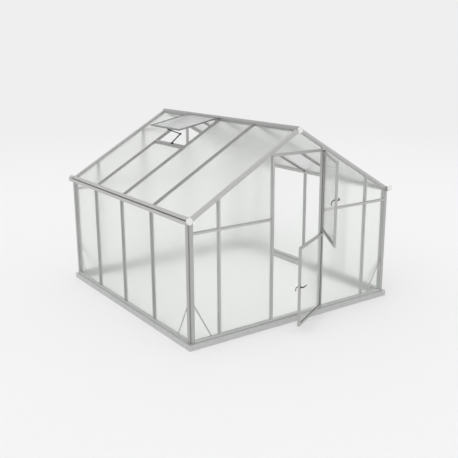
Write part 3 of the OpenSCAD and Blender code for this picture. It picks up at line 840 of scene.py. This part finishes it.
def tip_profile(path, root, end):
    """Radii that shrink from root to end along a path and close in a dome at its tip."""
    steps = [0.0]
    for a, b in zip(path, path[1:]):
        steps.append(steps[-1] + (b - a).length)
    radii = []
    for reached in steps:
        radius = root + (end - root) * reached / steps[-1]
        short = max(0.0, reached - (steps[-1] - end)) / end
        radii.append(max(TIP_R, radius * math.sqrt(max(0.0, 1 - short * short))))
    return radii


def smooth_path(start, out, before, stop):
    """A bezier path whose points crowd towards its tip, so that the dome is round."""
    path = interpolate_bezier(start, out, before, stop, SAMPLES)
    final = path[-1] - path[-2]
    return path[:-1] + [path[-2] + final * f for f in TIP_STEPS]


def lever_handle(body, node_name):
    """The outer lever with its rose and the inner catch, in place of a leaf's CAD handle."""
    sides = sorted((box_of(local_points(body, part)) for part in solids(node_name)), key=lambda b: b[0].y)
    (out_low, out_high), (in_low, in_high) = sides
    mesh = bmesh.new()
    rose_r = (out_high.z - out_low.z) / 2
    root = Vector((out_low.x + rose_r, out_high.y, (out_low.z + out_high.z) / 2))
    rose = [root - Y * rise * MM for rise, _ in ROSE]
    skin(mesh, rose, [rose_r - inset * MM for _, inset in ROSE], Z)
    bend = Vector((root.x, out_low.y + LEVER_IN, root.z))
    tip = Vector((out_high.x - MM, out_low.y + LEVER_IN, root.z + LEVER_UP))
    path = smooth_path(root, bend, bend + LEVER_BEND * X, tip)
    skin(mesh, path, tip_profile(path, *LEVER_R), Z, flatten=0.75)
    root = Vector(((in_low.x + in_high.x) / 2, in_low.y, root.z))
    collar = [root + Y * rise * MM for rise, _ in COLLAR]
    skin(mesh, collar, [radius * MM for _, radius in COLLAR], X)
    catch_bend = Vector((root.x, in_high.y - CATCH_REACH, root.z))
    catch_tip = Vector((root.x, in_high.y - CATCH_IN, in_low.z + MM))
    path = smooth_path(root, catch_bend, catch_tip + CATCH_BEND * Z, catch_tip)
    skin(mesh, path, tip_profile(path, *CATCH_R), X, flatten=0.8)
    bmesh.ops.recalc_face_normals(mesh, faces=mesh.faces)
    bmesh.ops.transform(mesh, matrix=LEAVES[body], verts=mesh.verts)
    data = bpy.data.meshes.new(body + "_lever")
    mesh.to_mesh(data)
    mesh.free()
    for polygon in data.polygons:
        polygon.use_smooth = len(polygon.vertices) == 4
    data.materials.append(black_nylon)
    lever = bpy.data.objects.new(body + "_lever", data)
    bpy.context.scene.collection.objects.link(lever)
    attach(lever, body)
    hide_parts(node_name)
    print(lever.name, len(data.polygons), "faces, reach", [round(v, 3) for v in tip])


lever_handle("lower_leaf", "lower_door_handle")
lever_handle("upper_leaf", "upper_door_handle")

# %% [markdown]
# ## Stage, lamps and camera
# A pale studio: a wide floor that fades into the background, a bright even sky
# and one soft key light from the left. The world is what metal mirrors and what
# the sheets let through, so glossy and transmission rays see the same pale tone
# as the camera.

# %% Studio
FLOOR_R = 60.0
FADE = (6.0, 22.0)
FLOOR = "#f6f6f6"
BACKGROUND = "#efefef"
SKY_STRENGTH = 0.8
KEY_STRENGTH = 0.8
KEY_SPREAD = 50
KEY_RUN = (0.75, 0.35, -1.0)


def floor_material():
    """Matt white that turns into the background's own tone far away."""
    material, tree, output = new_material("matt white studio floor")
    place = add_node(tree, "ShaderNodeTexCoord").outputs["Object"]
    distance = add_node(tree, "ShaderNodeVectorMath", {0: place}, operation="LENGTH").outputs["Value"]
    far = add_node(tree, "ShaderNodeMapRange", {
        "Value": distance, "From Min": FADE[0], "From Max": FADE[1],
    }, interpolation_type="SMOOTHSTEP").outputs[0]
    paint = add_node(tree, "ShaderNodeBsdfPrincipled", {
        "Base Color": linear(FLOOR), "Roughness": 0.9, "Specular IOR Level": 0.1,
    })
    glow = add_node(tree, "ShaderNodeEmission", {"Color": linear(BACKGROUND), "Strength": 1.0})
    mix = add_node(tree, "ShaderNodeMixShader", {0: far, 1: paint.outputs[0], 2: glow.outputs[0]})
    tree.links.new(mix.outputs[0], output.inputs["Surface"])
    return material


def studio_floor():
    """A round floor on the ground, under the base."""
    disc = bmesh.new()
    bmesh.ops.create_circle(disc, cap_ends=True, segments=96, radius=FLOOR_R)
    mesh = bpy.data.meshes.new("studio_floor")
    disc.to_mesh(mesh)
    disc.free()
    floor = bpy.data.objects.new("studio_floor", mesh)
    mesh.materials.append(floor_material())
    bpy.context.scene.collection.objects.link(floor)


def studio_world():
    """Even sky light, with the background's tone for camera, mirror and see-through rays."""
    world = bpy.data.worlds.new("studio")
    bpy.context.scene.world = world
    world.use_nodes = True
    tree = world.node_tree
    tree.nodes.clear()
    path = add_node(tree, "ShaderNodeLightPath").outputs
    seen = add_node(tree, "ShaderNodeMath", {
        0: path["Is Camera Ray"], 1: path["Is Glossy Ray"],
    }, operation="MAXIMUM")
    seen = add_node(tree, "ShaderNodeMath", {
        0: seen.outputs[0], 1: path["Is Transmission Ray"],
    }, operation="MAXIMUM").outputs[0]
    sky = add_node(tree, "ShaderNodeBackground", {"Color": linear("#ffffff"), "Strength": SKY_STRENGTH})
    backdrop = add_node(tree, "ShaderNodeBackground", {"Color": linear(BACKGROUND), "Strength": 1.0})
    mix = add_node(tree, "ShaderNodeMixShader", {0: seen, 1: sky.outputs[0], 2: backdrop.outputs[0]})
    add_node(tree, "ShaderNodeOutputWorld", {0: mix.outputs[0]})


def key_light():
    """A broad soft sun from the front left."""
    sun = bpy.data.lights.new("key", "SUN")
    sun.energy = KEY_STRENGTH
    sun.angle = math.radians(KEY_SPREAD)
    lamp = bpy.data.objects.new("key", sun)
    lamp.rotation_euler = Vector(KEY_RUN).to_track_quat("-Z", "Y").to_euler()
    bpy.context.scene.collection.objects.link(lamp)


def look(position, yaw, pitch, roll, lens):
    """A camera at a point, its yaw from +Y towards +X, its pitch and roll in degrees."""
    camera = bpy.data.cameras.new("camera")
    camera.lens = lens
    camera.sensor_width = 36.0
    camera.clip_end = 300.0
    yaw, pitch, roll = (math.radians(a) for a in (yaw, pitch, roll))
    forward = Vector((math.sin(yaw) * math.cos(pitch), math.cos(yaw) * math.cos(pitch), math.sin(pitch)))
    level = Vector((math.cos(yaw), -math.sin(yaw), 0))
    right = math.cos(roll) * level + math.sin(roll) * level.cross(forward)
    up = right.cross(forward)
    viewer = bpy.data.objects.new("camera", camera)
    viewer.matrix_world = Matrix.Translation(position) @ Matrix((right, up, -forward)).transposed().to_4x4()
    bpy.context.scene.collection.objects.link(viewer)
    bpy.context.scene.camera = viewer


studio_floor()
studio_world()
key_light()
look(Vector((-5.050, -5.858, 3.160)), yaw=34.848, pitch=-14.76, roll=-0.292, lens=54.0)
bpy.context.scene.view_settings.view_transform = "Standard"
print("camera", [round(v, 2) for v in bpy.context.scene.camera.location])
